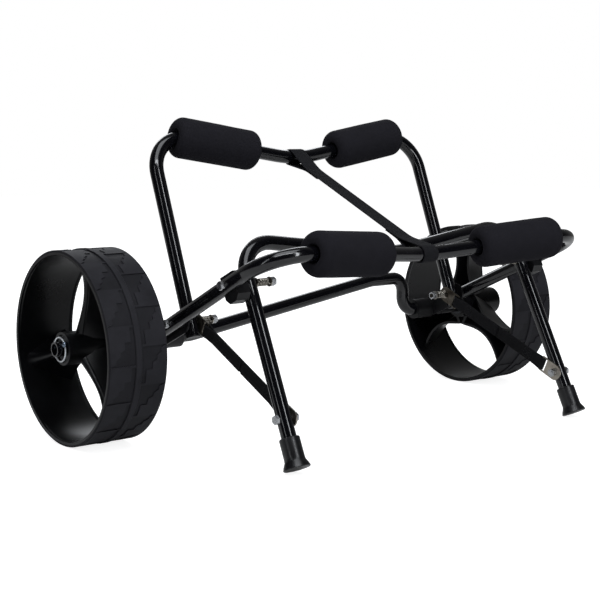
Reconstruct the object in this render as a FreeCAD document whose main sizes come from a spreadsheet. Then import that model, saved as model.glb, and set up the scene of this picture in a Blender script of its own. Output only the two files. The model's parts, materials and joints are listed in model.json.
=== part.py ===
import FreeCAD, Part
import Sketcher
import math
import os
from FreeCAD import Matrix, Placement, Rotation, Vector

# Kayak cart: two deep plastic wheels on a cranked axle, a fixed front hoop, a rear hoop that folds
# forward about the main pivot, a kickstand that folds back about its own pivot, foam pads, webbing.
# X runs along the axle, Y to the rear, Z up. The origin lies on the ground under the axle's middle.

os.makedirs("parts", exist_ok=True)
doc = FreeCAD.newDocument("kayak_cart")

SIDES = (("left", -1), ("right", 1))

# Lengths closer than this count as equal
TOLERANCE = 0.01

SIZES = (
    ("tubeDiameter", 19.0, "outer diameter of every frame tube"),
    ("tubeWall", 2.0, "wall of the frame tubes"),
    ("wheelRadius", 127.0, "over the tread's rib"),
    ("wheelWidth", 82.0, "barrel width of a wheel"),
    ("wheelGap", 53.0, "front leg's middle at the axle to a wheel's inner face"),
    ("ribHeight", 0.7, "middle rib above the tread blocks"),
    ("ribWidth", 9.0, "width of the middle rib"),
    ("blockHeight", 1.1, "tread blocks above the grooves"),
    ("tyreThickness", 2.8, "tyre from the rim to the top of the blocks"),
    ("rimWall", 2.4, "barrel wall of the rim"),
    ("lipHeight", 0.8, "rolled lip inside each edge of the barrel"),
    ("spokeInset", 11.5, "inner face of the wheel to the spokes' open edges"),
    ("spokeWall", 2.8, "wall of the hollow spokes"),
    ("spokeHubHeight", 50.0, "height of a spoke at the hub"),
    ("spokeWaistHeight", 44.5, "height of a spoke at its waist"),
    ("spokeRimHeight", 59.5, "height of a spoke at the barrel"),
    ("spokeHubHalf", 29.0, "half width of a spoke at the hub"),
    ("spokeWaistHalf", 14.0, "half width of a spoke at its waist"),
    ("spokeRimHalf", 41.0, "half width of a spoke at the barrel"),
    ("hubDiameter", 43.0, "hub boss"),
    ("hubInset", 2.0, "wheel's inner face to the hub's inner end"),
    ("hubReach", 79.0, "wheel's inner face to the hub's outer end"),
    ("recessDiameter", 36.0, "recess in the hub's outer end"),
    ("recessDepth", 4.0, "depth of that recess"),
    ("bushDiameter", 24.0, "outside of the plain bearing in the hub"),
    ("runClearance", 0.06, "radial clearance of turning fits"),
    ("sideGap", 0.3, "clearance between faces that turn past each other"),
    ("washerThickness", 1.2, "bolt washers"),
    ("axleOverhang", 8.0, "axle beyond a wheel's outer face"),
    ("crankStartInset", 19.0, "axle bracket to the left end of the axle's sloping stretch"),
    ("crankTopInset", 66.0, "axle's drop to the right end of the sloping stretch"),
    ("crankRise", 51.0, "rise of the cranked stretch"),
    ("crankDropInset", 22.0, "axle bracket to where the axle drops back to wheel height"),
    ("crankGentleBend", 60.0, "centre-line radius at the slope's ends"),
    ("crankTightBend", 21.0, "centre-line radius of the drop"),
    ("frontAngle", 24.5, "slope of the front hoop above the horizontal"),
    ("frontDip", 278.0, "axle to the front bar's middle"),
    ("frontCorner", 325.0, "axle to the front hoop's corners"),
    ("frontLegBase", 262.0, "front leg from the middle at the axle"),
    ("frontLegSpread", 0.0477, "front leg's outward slope"),
    ("frontBend", 52.0, "bend radius of the front hoop"),
    ("dipBend", 200.0, "bend radius at the middle of each bar"),
    ("mainPivot", 68.0, "axle to main pivot along the front leg"),
    ("kickPivot", 217.7, "axle to kickstand pivot along the front leg"),
    ("backAngle", 69.0, "slope of the rear hoop above the horizontal"),
    ("backDip", 223.0, "main pivot to the rear bar's middle"),
    ("backCorner", 265.0, "main pivot to the rear hoop's corners"),
    ("backGap", 6.25, "space between front leg and rear leg at the main pivot"),
    ("backBend", 50.0, "bend radius of the rear hoop"),
    ("backTail", 20.0, "rear leg past the main pivot"),
    ("kickAngle", 64.0, "slope of the kickstand above the horizontal"),
    ("kickGap", 10.4, "space between front leg and kickstand leg at its pivot"),
    ("kickSpread", 0.0248, "kickstand leg's outward slope"),
    ("kickDip", 24.0, "kickstand pivot to its bar's middle"),
    ("kickCorner", 58.0, "kickstand pivot to its corners"),
    ("kickBend", 45.0, "bend radius of the kickstand"),
    ("padDiameter", 57.0, "foam pads"),
    ("padLength", 131.0, "length of a foam pad"),
    ("padRound", 12.0, "rounding of the pad ends"),
    ("frontPadGap", 0.5, "front hoop's bend to the pad's outer end"),
    ("backPadOverhang", 19.7, "how far the rear pad's outer end covers the hoop's bend"),
    ("boltDiameter", 6.0, "pivot bolts"),
    ("headThickness", 4.5, "bolt heads"),
    ("nutThickness", 7.0, "lock nuts"),
    ("hexAcross", 10.0, "across flats of heads and nuts"),
    ("washerDiameter", 12.5, "bolt washers"),
    ("springPlay", 0.5, "clearance of the pivot springs round their bolts"),
    ("springWire", 1.5, "wire of the pivot springs"),
    ("springLength", 20.0, "length of the pivot springs"),
    ("springTurns", 6.0, "turns of each pivot spring"),
    ("bossDiameter", 30.0, "axle bracket's boss round the axle"),
    ("bossInset", 22.0, "rear leg's middle to the axle bracket's inner end"),
    ("bracketThickness", 2.4, "axle bracket's plate"),
    ("plateGap", 0.4, "rear leg to that plate"),
    ("spacerDiameter", 14.0, "spacer between bracket and front leg"),
    ("sleeveDiameter", 25.0, "axle sleeve between front leg and wheel"),
    ("axleWasherDiameter", 33.0, "large washers on the axle"),
    ("axleWasherThickness", 2.0, "large washers on the axle"),
    ("pinDiameter", 4.5, "locking pin through the axle"),
    ("pinInset", 8.4, "axle's end to the locking pin"),
    ("pinTailInset", 1.0, "the pin's tail shorter than its head's reach"),
    ("pinHeadDiameter", 8.0, "ball head of the locking pin"),
    ("ringDiameter", 33.0, "locking pin's ring"),
    ("ringWire", 2.0, "wire of that ring"),
    ("ringLoose", 0.75, "play of the ring in the pin's head"),
    ("kickBracketLength", 28.0, "kickstand bracket along the front leg"),
    ("kickBracketHeight", 36.0, "kickstand bracket across the front leg"),
    ("kickBracketDrop", 22.3, "kickstand pivot to its bracket's lower face"),
    ("kickBracketChamfer", 7.0, "cut corners of the kickstand bracket"),
    ("footDiameter", 25.4, "upper part of a rubber foot"),
    ("footBase", 34.0, "flared base of a rubber foot"),
    ("footHeight", 38.0, "height of a rubber foot"),
    ("footFlare", 10.0, "height of its flared base"),
    ("footRound", 1.0, "rounding of a foot's edges"),
    ("footSole", 4.0, "rubber under the end of the leg"),
    ("footPress", 0.6, "flattened depth where the foot stands"),
    ("stayBolt", 172.5, "kickstand pivot to the stay's lower bolt"),
    ("tabWidth", 22.0, "stay tabs"),
    ("tabLength", 27.0, "stay tab from its bolt to its slotted end"),
    ("tabThickness", 2.0, "stay tabs"),
    ("tabBar", 4.0, "strip of a tab beyond its slot"),
    ("tabSlot", 5.5, "slot width in a tab"),
    ("stayWidth", 17.0, "stay webbing"),
    ("stayLayer", 1.5, "one layer of the stay webbing"),
    ("slotPlay", 1.5, "tab's slot longer than the webbing is wide"),
    ("stayThroat", 24.0, "tab's strip to where the stay's loops close"),
    ("strapWidth", 25.0, "top strap webbing"),
    ("strapLayer", 2.0, "one layer of the top strap"),
    ("loopPlay", 0.8, "clearance of the top strap's loops"),
    ("loopThroat", 45.0, "bar to where the top strap's loops close"),
    ("plugLip", 2.0, "rim of the plugs in the rear legs' ends"),
)

sheet = doc.addObject("Spreadsheet::Sheet", "Sizes")
for row, (alias, value, note) in enumerate(SIZES, start=1):
    sheet.set("A%d" % row, note)
    sheet.set("B%d" % row, str(value))
    sheet.setAlias("B%d" % row, alias)
doc.recompute()
size = {alias: float(sheet.get(alias)) for alias, value, note in SIZES}

tubeRadius = size["tubeDiameter"] / 2
axleZ = size["wheelRadius"]

# Places across the cart, each counted from the front hoop's legs
wheelInner = size["frontLegBase"] + size["wheelGap"]
axleEnd = wheelInner + size["wheelWidth"] + size["axleOverhang"]
backLeg = (size["frontLegBase"] + size["frontLegSpread"] * size["mainPivot"]
           - size["tubeDiameter"] - size["backGap"])
kickLeg = (size["frontLegBase"] + size["frontLegSpread"] * size["kickPivot"]
           - size["tubeDiameter"] - size["kickGap"])
bossStart = backLeg - size["bossInset"]
crankStart = bossStart - size["crankStartInset"]
crankDrop = bossStart - size["crankDropInset"]
crankTop = crankDrop - size["crankTopInset"]

# The same places and radii as expressions for the sheet's users
WHEEL_INNER = "(Sizes.frontLegBase + Sizes.wheelGap)"
AXLE_END = "(Sizes.frontLegBase + Sizes.wheelGap + Sizes.wheelWidth + Sizes.axleOverhang)"
BACK_LEG = ("(Sizes.frontLegBase + Sizes.frontLegSpread * Sizes.mainPivot"
            " - Sizes.tubeDiameter - Sizes.backGap)")
TUBE = "Sizes.tubeDiameter / 2"
BOLT = "Sizes.boltDiameter / 2"
RIM_OUTER = "Sizes.wheelRadius - Sizes.ribHeight - Sizes.tyreThickness"
RIM_INNER = RIM_OUTER + " - Sizes.rimWall"
PLATE_START = "(%s + %s) + Sizes.plateGap" % (BACK_LEG, TUBE)
PLATE_END = PLATE_START + " + Sizes.bracketThickness"
SLEEVE_START = ("Sizes.frontLegBase + Sizes.tubeDiameter / 2 + Sizes.sideGap"
                " + Sizes.frontLegSpread * Sizes.sleeveDiameter / 2")
HUB_START = WHEEL_INNER + " + Sizes.hubInset"
HUB_END = WHEEL_INNER + " + Sizes.hubReach - Sizes.recessDepth"

xAxis = Vector(1, 0, 0)
zAxis = Vector(0, 0, 1)
origin = Vector(0, 0, 0)
nodes = []


# Helpers that add document objects

def bind(item, **expressions):
    for prop, expression in expressions.items():
        item.setExpression(prop, expression)
    return item


def aimed(start, direction):
    return Placement(start, Rotation(zAxis, direction))


def cylinder(name, radius, height, start, direction):
    item = doc.addObject("Part::Cylinder", name)
    item.Placement = aimed(start, direction)
    return bind(item, Radius=radius, Height=height)


def hexPrism(name, across, height, start, direction):
    item = doc.addObject("Part::Prism", name)
    item.Polygon = 6
    item.Placement = aimed(start, direction)
    return bind(item, Circumradius="%s / 2 / cos(30)" % across, Height=height)


def feature(name, shape):
    item = doc.addObject("Part::Feature", name)
    item.Shape = shape
    return item


def fuse(name, items):
    item = doc.addObject("Part::MultiFuse", name)
    item.Shapes = items
    return item


def group(name, items):
    item = doc.addObject("Part::Compound", name)
    item.Links = items
    return item


def cut(name, base, tool):
    item = doc.addObject("Part::Cut", name)
    item.Base = base
    item.Tool = tool
    return item


def node(label, item):
    item.Label = label
    nodes.append(item)
    return item


# Helpers that make paths and outlines

def roundedPath(points, radii):
    """Straight runs joined by tangent arcs, one radius for each inner point."""
    edges = []
    start = points[0]
    for before, corner, after, radius in zip(points, points[1:], points[2:], radii):
        toBefore = (before - corner).normalize()
        toAfter = (after - corner).normalize()
        half = toBefore.getAngle(toAfter) / 2
        reach = radius / math.tan(half)
        bisector = (toBefore + toAfter).normalize()
        arcStart = corner + toBefore * reach
        arcEnd = corner + toAfter * reach
        middle = corner + bisector * (radius / math.sin(half) - radius)
        edges.append(Part.LineSegment(start, arcStart).toShape())
        edges.append(Part.Arc(arcStart, middle, arcEnd).toShape())
        start = arcEnd
    edges.append(Part.LineSegment(start, points[-1]).toShape())
    return Part.Wire(edges)


def sweep(name, path, radius):
    """A solid rod of the given radius along a path."""
    spine = feature(name + "Path", path)
    first = path.OrderedEdges[0]
    ring = doc.addObject("Part::Circle", name + "Ring")
    ring.Placement = aimed(first.valueAt(first.FirstParameter), first.tangentAt(first.FirstParameter))
    bind(ring, Radius=radius)
    item = doc.addObject("Part::Sweep", name)
    item.Sections = [ring]
    item.Spine = (spine, [])
    item.Solid = True
    item.Frenet = False
    return item


def tubeParts(name, path):
    """The outside of a bent tube and its bore, as two rods."""
    outside = sweep(name + "Outside", path, "Sizes.tubeDiameter / 2")
    bore = sweep(name + "Bore", path, "Sizes.tubeDiameter / 2 - Sizes.tubeWall")
    return outside, bore


def outline(body, name, plane, corners):
    """A closed sketch of straight lines; each corner's two places are sheet expressions."""
    sketch = body.newObject("Sketcher::SketchObject", name)
    base = [item for item in body.Origin.OriginFeatures if item.Role == plane][0]
    sketch.AttachmentSupport = [(base, "")]
    sketch.MapMode = "FlatFace"
    points = [Vector(float(sheet.evalExpression(u)), float(sheet.evalExpression(v)), 0) for u, v in corners]
    last = len(points)
    for index in range(last):
        sketch.addGeometry(Part.LineSegment(points[index], points[(index + 1) % last]), False)
    for index in range(last):
        sketch.addConstraint(Sketcher.Constraint("Coincident", index, 2, (index + 1) % last, 1))
    for index, (u, v) in enumerate(corners):
        for kind, expression, value in (("DistanceX", u, points[index].x), ("DistanceY", v, points[index].y)):
            number = sketch.addConstraint(Sketcher.Constraint(kind, -1, 1, index, 1, value))
            sketch.setExpression("Constraints[%d]" % number, expression)
    return sketch


def turned(name, profile, place):
    """A body turned about its local X axis from a profile of (along, radius) expressions."""
    body = doc.addObject("PartDesign::Body", name)
    sketch = outline(body, name + "Profile", "XY_Plane", profile)
    revolution = body.newObject("PartDesign::Revolution", name + "Turn")
    revolution.Profile = sketch
    revolution.ReferenceAxis = (sketch, ["H_Axis"])
    revolution.Angle = 360
    body.Tip = revolution
    body.Placement = place
    sketch.Visibility = False
    return body


def plate(name, length, radius, thickness, start, along, normal):
    """A plate with round ends: start and start + length * along are the centres of its ends."""
    body = doc.addObject("PartDesign::Body", name)
    sketch = body.newObject("Sketcher::SketchObject", name + "Outline")
    base = [item for item in body.Origin.OriginFeatures if item.Role == "XY_Plane"][0]
    sketch.AttachmentSupport = [(base, "")]
    sketch.MapMode = "FlatFace"
    reach = float(sheet.evalExpression(length))
    curve = float(sheet.evalExpression(radius))
    quarter = math.pi / 2
    farEnd = Vector(reach, 0, 0)
    sketch.addGeometry([
        Part.ArcOfCircle(Part.Circle(origin, zAxis, curve), quarter, 3 * quarter),
        Part.LineSegment(Vector(0, -curve, 0), Vector(reach, -curve, 0)),
        Part.ArcOfCircle(Part.Circle(farEnd, zAxis, curve), -quarter, quarter),
        Part.LineSegment(Vector(reach, curve, 0), Vector(0, curve, 0))], False)
    for first, second in (((0, 2), (1, 1)), ((1, 2), (2, 1)), ((2, 2), (3, 1)), ((3, 2), (0, 1))):
        sketch.addConstraint(Sketcher.Constraint("Tangent", *first, *second))
    sketch.addConstraint(Sketcher.Constraint("Coincident", 0, 3, -1, 1))
    sketch.addConstraint(Sketcher.Constraint("PointOnObject", 2, 3, -1))
    spread = sketch.addConstraint(Sketcher.Constraint("DistanceX", 0, 3, 2, 3, reach))
    sketch.setExpression("Constraints[%d]" % spread, length)
    rounding = sketch.addConstraint(Sketcher.Constraint("Radius", 0, curve))
    sketch.setExpression("Constraints[%d]" % rounding, radius)
    pad = body.newObject("PartDesign::Pad", name + "Pad")
    pad.Profile = sketch
    bind(pad, Length=thickness)
    body.Tip = pad
    body.Placement = Placement(start, Rotation(along, normal.cross(along), normal, "ZXY"))
    return body


# Where the frame's planes and pivots lie

def frontPoint(x, reach):
    angle = math.radians(size["frontAngle"])
    return Vector(x, -reach * math.cos(angle), axleZ + reach * math.sin(angle))


def backPoint(x, reach):
    angle = math.radians(size["backAngle"])
    return mainPivot + Vector(x, reach * math.cos(angle), reach * math.sin(angle))


def kickPoint(x, reach):
    angle = math.radians(size["kickAngle"])
    return kickPivot + Vector(x, reach * math.cos(angle), reach * math.sin(angle))


def frontLegX(reach):
    return size["frontLegBase"] + size["frontLegSpread"] * reach


def backLegX(reach):
    return backLeg


def kickLegX(reach):
    return kickLeg - size["kickSpread"] * reach


mainPivot = frontPoint(0, size["mainPivot"])
kickPivot = frontPoint(0, size["kickPivot"])
footTilt = math.radians(size["kickAngle"])
footEdge = size["footBase"] / 2 * math.cos(footTilt)
footReach = -(kickPivot.z - footEdge + size["footPress"]) / math.sin(footTilt)
legEnd = footReach + size["footSole"]
frontOuter = tubeRadius / math.cos(math.atan(size["frontLegSpread"]))


def hoop(pointAt, legX, start, corner, dip, bend):
    points = [pointAt(-legX(start), start), pointAt(-legX(corner), corner), pointAt(0, dip),
              pointAt(legX(corner), corner), pointAt(legX(start), start)]
    return roundedPath(points, [bend, size["dipBend"], bend])


axlePath = roundedPath(
    [Vector(-axleEnd, 0, axleZ), Vector(-crankStart, 0, axleZ),
     Vector(crankTop, 0, axleZ + size["crankRise"]),
     Vector(crankDrop, 0, axleZ + size["crankRise"]),
     Vector(crankDrop, 0, axleZ), Vector(axleEnd, 0, axleZ)],
    [size["crankGentleBend"], size["crankGentleBend"], size["crankTightBend"], size["crankTightBend"]])
frontPath = hoop(frontPoint, frontLegX, 0, size["frontCorner"], size["frontDip"], size["frontBend"])
backPath = hoop(backPoint, backLegX, -size["backTail"], size["backCorner"], size["backDip"], size["backBend"])
kickPath = hoop(kickPoint, kickLegX, legEnd, size["kickCorner"], size["kickDip"], size["kickBend"])


# Frame tubes

def sideHoles(name, radius, centres):
    """Round holes along X through both legs."""
    start = Vector(-axleEnd, 0, 0)
    return [cylinder("%s%d" % (name, number), radius, "2 * " + AXLE_END, centre + start, xAxis)
            for number, centre in enumerate(centres)]


def makeAxle():
    outside, bore = tubeParts("axle", axlePath)
    pinReach = axleEnd - size["pinInset"]
    holes = []
    for side, sign in SIDES:
        start = Vector(sign * pinReach, 0, axleZ) - pinDirection * size["tubeDiameter"]
        holes.append(cylinder("pinHole_" + side, "Sizes.pinDiameter / 2", "2 * Sizes.tubeDiameter",
                              start, pinDirection))
    node("axle_tube", cut("axleTube", outside, fuse("axleCuts", [bore] + holes)))
    return outside


def makeFrontFrame(axleOutside):
    outside, bore = tubeParts("front", frontPath)
    holes = sideHoles("frontHole", "Sizes.boltDiameter / 2", [mainPivot, kickPivot])
    node("front_frame_tube", cut("frontFrame", outside, fuse("frontCuts", [bore, axleOutside] + holes)))
    return outside


def makeBackFrame():
    outside, bore = tubeParts("back", backPath)
    holes = sideHoles("backHole", "Sizes.boltDiameter / 2 + Sizes.runClearance", [mainPivot])
    node("back_frame_tube", cut("backFrame", outside, fuse("backCuts", [bore] + holes)))
    return outside, bore


def makeKickstand():
    outside, bore = tubeParts("kick", kickPath)
    holes = sideHoles("kickHole", "Sizes.boltDiameter / 2 + Sizes.runClearance", [kickPivot])
    holes += sideHoles("stayHole", "Sizes.boltDiameter / 2", [kickPoint(0, -size["stayBolt"])])
    node("kickstand_tube", cut("kickstand", outside, fuse("kickCuts", [bore] + holes)))
    return outside


# The locking pins point up and forward, so that their heads show beside the axle's end
pinDirection = Vector(0, -1, 0.6).normalize()
axleOutside = makeAxle()
frontOutside = makeFrontFrame(axleOutside)
backOutside, backBore = makeBackFrame()
kickOutside = makeKickstand()


# Foam pads on both bars

def bendReach(before, corner, after, radius):
    """From a corner to where its rounding of that radius starts."""
    return radius / math.tan((before - corner).getAngle(after - corner) / 2)


def makePads(label, pointAt, legX, dip, corner, bend, gap, outside):
    """Pads whose outer ends lie gap from the hoop's bends."""
    radius = size["padDiameter"] / 2
    for side, sign in SIDES:
        middle = pointAt(0, dip)
        end = pointAt(sign * legX(corner), corner)
        reach = bendReach(middle, end, pointAt(sign * legX(0), 0), bend)
        along = (end - middle).normalize()
        base = end - along * (reach + gap + size["padLength"])
        roll = cylinder("%s_roll_%s" % (label, side), "Sizes.padDiameter / 2", "Sizes.padLength", base, along)
        bored = cut("%s_bored_%s" % (label, side), roll, outside)
        doc.recompute()
        ends = [number for number, edge in enumerate(bored.Shape.Edges, 1)
                if isinstance(edge.Curve, Part.Circle) and abs(edge.Curve.Radius - radius) < TOLERANCE]
        rounded = doc.addObject("Part::Fillet", "%s_rounded_%s" % (label, side))
        rounded.Base = bored
        rounded.Edges = [(number, size["padRound"], size["padRound"]) for number in ends]
        node("%s_%s" % (label, side), rounded)


makePads("front_pad", frontPoint, frontLegX, size["frontDip"], size["frontCorner"], size["frontBend"],
         size["frontPadGap"], frontOutside)
makePads("back_pad", backPoint, backLegX, size["backDip"], size["backCorner"], size["backBend"],
         -size["backPadOverhang"], backOutside)


# Wheels, modelled with X from the inner face outward and the first spoke upward

# How far each wheel has rolled from having its first spoke upright
SPOKE_TURN = {"left": -15.5, "right": 1.0}
SPOKES = 3
BLOCKS = 16

# A spoke's section: its shoulders as shares of its height and half width, and how much faster
# the hollow narrows than its wall is thick, because its sides slant
SHOULDER_HEIGHT = 0.88
SHOULDER_WIDTH = 0.26
SIDE_SLANT = 1.25

def wheelPlace(side, sign):
    """The left wheel is the same moulding turned half way round the upright."""
    turn = Rotation(zAxis, 0 if sign > 0 else 180)
    return Placement(Vector(sign * wheelInner, 0, axleZ), turn * Rotation(xAxis, SPOKE_TURN[side]))


rimOuter = size["wheelRadius"] - size["ribHeight"] - size["tyreThickness"]
rimInner = rimOuter - size["rimWall"]


def blend(first, middle, last, share):
    """A smooth curve through three values at shares 0, 0.45 and 1."""
    waist = 0.45
    if share < waist:
        return middle + (first - middle) * (1 - share / waist) ** 2
    return middle + (last - middle) * ((share - waist) / (1 - waist)) ** 2


def spokeShape(inset, start, end):
    """The tent-like spoke, drawn in by inset, from one radius to another along local Z."""
    stations = 7
    wires = []
    for number in range(stations):
        reach = start + (end - start) * number / (stations - 1)
        share = (reach - size["hubDiameter"] / 2) / (rimInner - size["hubDiameter"] / 2)
        share = min(max(share, 0), 1)
        half = blend(size["spokeHubHalf"], size["spokeWaistHalf"], size["spokeRimHalf"], share)
        half -= inset * SIDE_SLANT
        height = blend(size["spokeHubHeight"], size["spokeWaistHeight"], size["spokeRimHeight"], share)
        height -= inset
        base = size["spokeInset"] - (inset > 0) * size["spokeWall"]
        crest = size["spokeInset"] + height
        shoulder = size["spokeInset"] + height * SHOULDER_HEIGHT
        foot = Vector(base, -half, reach)
        left = Vector(shoulder, -half * SHOULDER_WIDTH, reach)
        top = Vector(crest, 0, reach)
        right = Vector(shoulder, half * SHOULDER_WIDTH, reach)
        otherFoot = Vector(base, half, reach)
        wires.append(Part.Wire([
            Part.LineSegment(foot, left).toShape(), Part.Arc(left, top, right).toShape(),
            Part.LineSegment(right, otherFoot).toShape(), Part.LineSegment(otherFoot, foot).toShape()]))
    return Part.makeLoft(wires, True, False)


def spokeRing(shape):
    copies = []
    for number in range(SPOKES):
        copy = shape.copy()
        copy.rotate(origin, xAxis, 360 / SPOKES * number)
        copies.append(copy)
    return copies


def makeRim(side, sign):
    lip = RIM_INNER + " - Sizes.lipHeight"
    barrel = turned("barrel_" + side, (
        ("0", RIM_OUTER), ("Sizes.wheelWidth", RIM_OUTER), ("Sizes.wheelWidth", lip),
        ("Sizes.wheelWidth - Sizes.rimWall", lip), ("Sizes.wheelWidth - 2 * Sizes.rimWall", RIM_INNER),
        ("2 * Sizes.rimWall", RIM_INNER), ("Sizes.rimWall", lip), ("0", lip)), Placement())
    hub = turned("hub_" + side, (
        ("Sizes.hubInset", "Sizes.bushDiameter / 2"), ("Sizes.hubInset", "Sizes.hubDiameter / 2"),
        ("Sizes.hubReach", "Sizes.hubDiameter / 2"), ("Sizes.hubReach", "Sizes.recessDiameter / 2"),
        ("Sizes.hubReach - Sizes.recessDepth", "Sizes.recessDiameter / 2"),
        ("Sizes.hubReach - Sizes.recessDepth", "Sizes.bushDiameter / 2")), Placement())
    doc.recompute()
    hubRadius = size["hubDiameter"] / 2
    root = (size["bushDiameter"] + size["hubDiameter"]) / 4
    solid = spokeShape(0, root, rimInner + size["rimWall"] / 2)
    hollow = spokeShape(size["spokeWall"], hubRadius, rimInner)
    shell = solid.multiFuse(spokeRing(solid)[1:]).cut(spokeRing(hollow))
    rod = Part.makeCylinder(hubRadius - size["spokeWall"], size["wheelWidth"], origin, xAxis)
    keep = Part.makeCylinder(rimInner + size["rimWall"] / 2, size["wheelWidth"], origin, xAxis)
    spokes = feature("spokes_" + side, shell.cut(rod).common(keep))
    rim = fuse("wheel_rim_parts_" + side, [barrel, hub, spokes])
    rim.Placement = wheelPlace(side, sign)
    node("wheel_rim_" + side, rim)


def treadCutter():
    """The sunken ground beside one raised block of the outer row, round the local Z direction.

    Each step is a share of the row's width from the edge inward and of a block's pitch round the tyre.
    """
    top = size["wheelRadius"] - size["ribHeight"]
    pitch = 2 * math.pi * top / BLOCKS
    row = (size["wheelWidth"] - size["ribWidth"]) / 2
    edge = size["wheelWidth"]
    steps = ((0.0, 0.97), (0.25, 0.9), (0.25, 0.8), (0.42, 0.72), (0.42, 0.62), (0.6, 0.56), (0.6, 0.38),
             (0.84, 0.38), (0.84, 0.03), (1.0, 0.03), (1.0, 0.97))
    points = [Vector(edge - across * row, (round - 0.5) * pitch, 0) for across, round in steps]
    points.append(points[0])
    face = Part.Face(Part.makePolygon(points))
    clear = size["ribHeight"]
    prism = face.extrude(Vector(0, 0, size["wheelRadius"] + 2 * clear))
    shell = Part.makeCylinder(size["wheelRadius"] + clear, edge + 2 * clear, Vector(-clear, 0, 0), xAxis)
    core = Part.makeCylinder(top - size["blockHeight"], edge + 4 * clear, Vector(-2 * clear, 0, 0), xAxis)
    return prism.common(shell.cut(core))


def makeTyre(side, sign):
    top = "Sizes.wheelRadius - Sizes.ribHeight"
    bevel = top + " - Sizes.blockHeight"
    ribStart = "(Sizes.wheelWidth - Sizes.ribWidth) / 2"
    ribEnd = "(Sizes.wheelWidth + Sizes.ribWidth) / 2"
    tyre = turned("tyreRing_" + side, (
        ("0", RIM_OUTER), ("0", bevel), ("Sizes.blockHeight", top), (ribStart, top),
        (ribStart + " + Sizes.ribHeight", "Sizes.wheelRadius"),
        (ribEnd + " - Sizes.ribHeight", "Sizes.wheelRadius"), (ribEnd, top),
        ("Sizes.wheelWidth - Sizes.blockHeight", top), ("Sizes.wheelWidth", bevel),
        ("Sizes.wheelWidth", RIM_OUTER)), Placement())
    one = treadCutter()
    other = one.copy()
    other.rotate(Vector(size["wheelWidth"] / 2, 0, 0), zAxis, 180)
    other.rotate(origin, xAxis, 180 / BLOCKS)
    copies = []
    for number in range(BLOCKS):
        for row in (one, other):
            copy = row.copy()
            copy.rotate(origin, xAxis, 360 / BLOCKS * number)
            copies.append(copy)
    grooves = feature("treadGrooves_" + side, Part.makeCompound(copies))
    tread = cut("tread_" + side, tyre, grooves)
    tread.Placement = wheelPlace(side, sign)
    node("tyre_" + side, tread)


def makeHubBush(side, sign):
    bush = turned("hubBush_" + side, (
        ("Sizes.hubInset", "Sizes.tubeDiameter / 2 + Sizes.runClearance"),
        ("Sizes.hubInset", "Sizes.bushDiameter / 2"),
        ("Sizes.hubReach - Sizes.recessDepth", "Sizes.bushDiameter / 2"),
        ("Sizes.hubReach - Sizes.recessDepth", "Sizes.tubeDiameter / 2 + Sizes.runClearance")),
        wheelPlace(side, sign))
    node("hub_bush_" + side, bush)


for side, sign in SIDES:
    makeRim(side, sign)
    makeTyre(side, sign)
    makeHubBush(side, sign)


# Rings and sleeves round a line along X, placed by their distances from the middle

def ring(name, sign, inner, outer, nearEnd, farEnd, centre):
    """A plain ring from nearEnd to farEnd along X on one side of the cart."""
    body = turned(name, ((nearEnd, inner), (nearEnd, outer), (farEnd, outer), (farEnd, inner)),
                  Placement(Vector(0, centre.y, centre.z), Rotation(zAxis, 0 if sign > 0 else 180)))
    return body


axleCentre = Vector(0, 0, axleZ)


def makeAxleBracket(side, sign):
    toAxle = axleCentre - mainPivot
    doc.recompute()
    start = float(sheet.evalExpression(PLATE_START))
    web = plate("bracketPlate_" + side, "Sizes.mainPivot", "Sizes.bossDiameter / 2", "Sizes.bracketThickness",
                mainPivot + Vector(start if sign > 0 else -start - size["bracketThickness"], 0, 0),
                Vector(toAxle).normalize(), xAxis)
    # The axle's own shape, bends and all, opens the boss to its full bore
    boss = ring("bracketBoss_" + side, sign, "Sizes.tubeDiameter / 4", "Sizes.bossDiameter / 2",
                BACK_LEG + " - Sizes.bossInset", PLATE_END, axleCentre)
    hole = cylinder("bracketHole_" + side, BOLT, "2 * " + WHEEL_INNER,
                    mainPivot - Vector(wheelInner, 0, 0), xAxis)
    shape = fuse("bracketShape_" + side, [web, boss])
    tools = fuse("bracketCuts_" + side, [hole, axleOutside])
    node("axle_bracket_" + side, cut("axleBracket_" + side, shape, tools))


def makeSpacers(side, sign):
    spacer = ring("pivotSpacer_" + side, sign, BOLT, "Sizes.spacerDiameter / 2", PLATE_END,
                  "Sizes.frontLegBase", mainPivot)
    node("pivot_spacer_" + side, cut("pivotSpacerSaddle_" + side, spacer, frontOutside))
    node("axle_sleeve_" + side, ring(
        "axleSleeve_" + side, sign, TUBE, "Sizes.sleeveDiameter / 2", SLEEVE_START,
        HUB_START + " - Sizes.axleWasherThickness - Sizes.sideGap", axleCentre))
    inner = ring("innerWasher_" + side, sign, TUBE, "Sizes.axleWasherDiameter / 2",
                 HUB_START + " - Sizes.axleWasherThickness - Sizes.sideGap", HUB_START + " - Sizes.sideGap",
                 axleCentre)
    outer = ring("outerWasher_" + side, sign, TUBE, "Sizes.axleWasherDiameter / 2",
                 HUB_END + " + Sizes.sideGap", HUB_END + " + Sizes.axleWasherThickness + Sizes.sideGap",
                 axleCentre)
    node("axle_washers_" + side, group("axleWashers_" + side, [inner, outer]))


# From the bolt's middle to the middle of the spring's wire
springRadius = size["boltDiameter"] / 2 + size["springPlay"] + size["springWire"] / 2


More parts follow.
